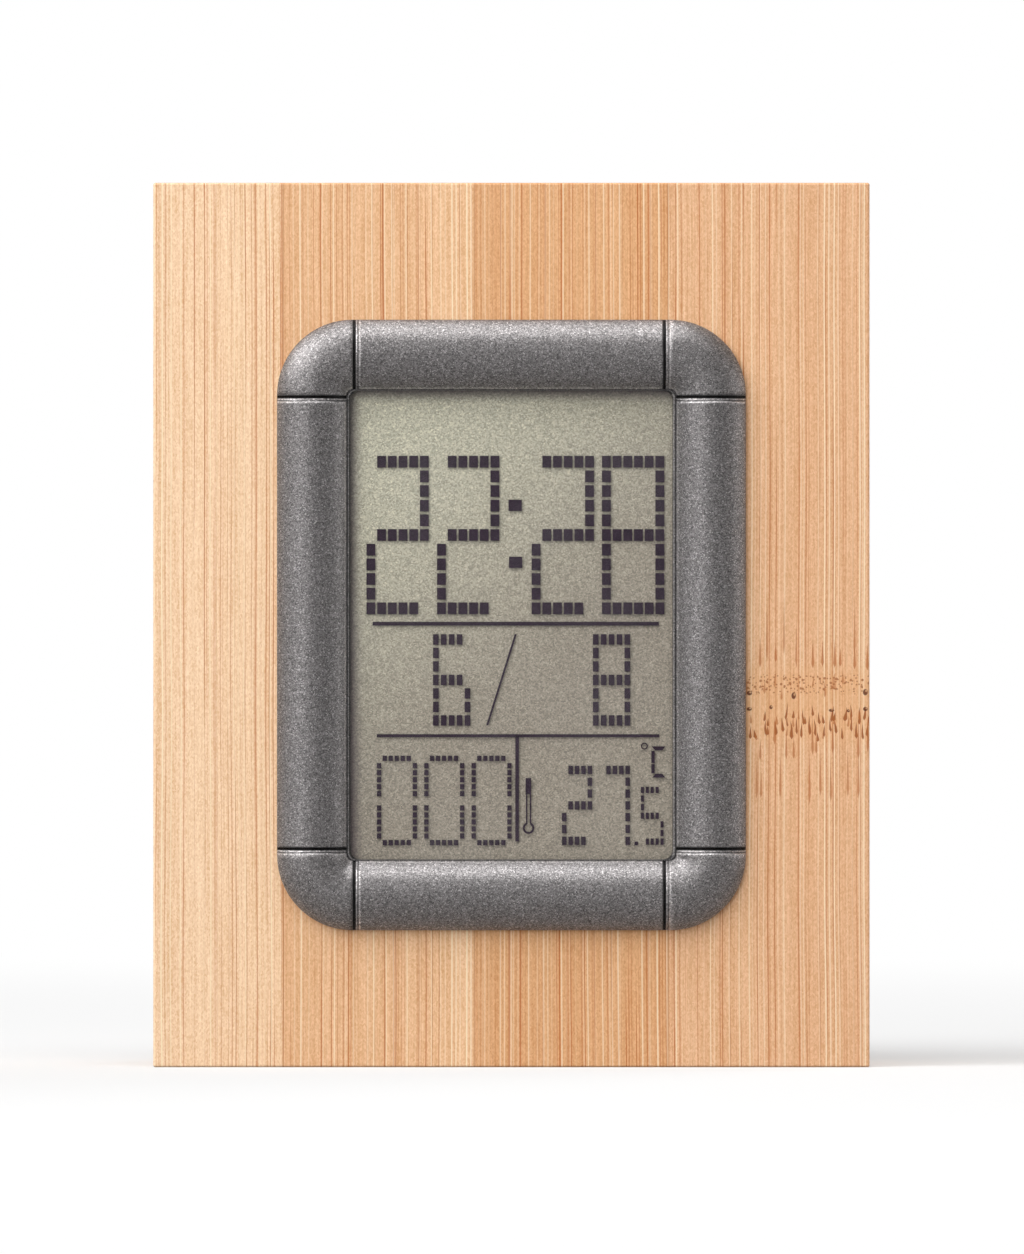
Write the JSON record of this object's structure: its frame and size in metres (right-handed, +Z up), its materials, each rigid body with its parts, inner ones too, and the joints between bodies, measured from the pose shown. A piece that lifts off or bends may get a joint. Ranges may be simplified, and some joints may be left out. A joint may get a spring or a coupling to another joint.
{
  "type": "desk clock",
  "caption": "Free-standing laminated bamboo block desk clock with a gunmetal bezel round a liquid-crystal display, keys and a hinged battery door at the back.",
  "frame": {"origin": "centre of the block's bottom face", "axes": "+Z up, -Y out of the display, +X to the right as seen from the front"},
  "size_m": [0.081, 0.0274, 0.1],
  "materials": {
    "bamboo": "smooth, clear satin coat",
    "gunmetal_paint": "metallic gunmetal paint on moulded plastic",
    "clear_lens": "clear acrylic",
    "black_rubber": "matt",
    "polarizer_film": "grey film",
    "display_glass": "polished",
    "reflector_film": "silvery grey-green film",
    "white_plastic": "matt",
    "board_laminate": "green solder mask",
    "screw_steel": "zinc plated",
    "black_epoxy": "glossy epoxy",
    "crystal_can": "bright",
    "chip_body": "matt",
    "switch_plastic": "matt",
    "key_plastic": "matt",
    "housing_plastic": "fine texture",
    "cell_jacket": null,
    "contact_plating": "nickel plated spring steel",
    "buzzer_brass": "plain",
    "white_ceramic": "silvered ceramic"
  },
  "bodies": {
    "case": {"bamboo_block": "bamboo", "battery_cell_inner": "cell_jacket", "battery_cell_outer": "cell_jacket", "bezel_frame": "gunmetal_paint", "board_screws": "screw_steel", "buzzer_ceramic": "white_ceramic", "buzzer_disc": "buzzer_brass", "buzzer_pins": "buzzer_brass", "case_screws": "screw_steel", "chip_components": "chip_body", "controller_blob": "black_epoxy", "key_switches": "switch_plastic", "lcd_front_glass": "display_glass", "lcd_front_polarizer": "polarizer_film", "lcd_holder": "white_plastic", "lcd_rear_glass": "display_glass", "lcd_reflector": "reflector_film", "lens": "clear_lens", "lens_gasket": "black_rubber", "link_contact": "contact_plating", "main_board": "board_laminate", "negative_contact": "contact_plating", "positive_contact": "contact_plating", "quartz_crystal": "crystal_can", "rear_housing": "housing_plastic", "reset_switch": "switch_plastic", "thermistor": "black_epoxy", "zebra_strips": "black_rubber"},
    "battery_door": {"battery_door": "housing_plastic"},
    "reset_button": {"reset_plunger": "switch_plastic"},
    "mode_button": {"mode_key": "key_plastic", "mode_plunger": "switch_plastic"},
    "set_button": {"set_key": "key_plastic", "set_plunger": "switch_plastic"},
    "plus_button": {"plus_key": "key_plastic", "plus_plunger": "switch_plastic"},
    "minus_button": {"minus_key": "key_plastic", "minus_plunger": "switch_plastic"}
  },
  "joints": [
    {"name": "mode_press", "type": "slide", "parent": "case", "child": "mode_button", "axis": [0, -1, 0], "range_m": [0, 0.0005], "stiffness_N_per_m": 1500},
    {"name": "set_press", "type": "slide", "parent": "case", "child": "set_button", "axis": [0, -1, 0], "range_m": [0, 0.0005], "stiffness_N_per_m": 1500},
    {"name": "plus_press", "type": "slide", "parent": "case", "child": "plus_button", "axis": [0, -1, 0], "range_m": [0, 0.0005], "stiffness_N_per_m": 1500},
    {"name": "minus_press", "type": "slide", "parent": "case", "child": "minus_button", "axis": [0, -1, 0], "range_m": [0, 0.0005], "stiffness_N_per_m": 1500},
    {"name": "reset_press", "type": "slide", "parent": "case", "child": "reset_button", "axis": [0, -1, 0], "range_m": [0, 0.0005], "stiffness_N_per_m": 800},
    {"name": "battery_door_swing", "type": "hinge", "parent": "case", "child": "battery_door", "pos_m": [0.0107, 0.0105, 0.0744], "axis": [1, 0, 0], "range_deg": [0, 95]}
  ]
}
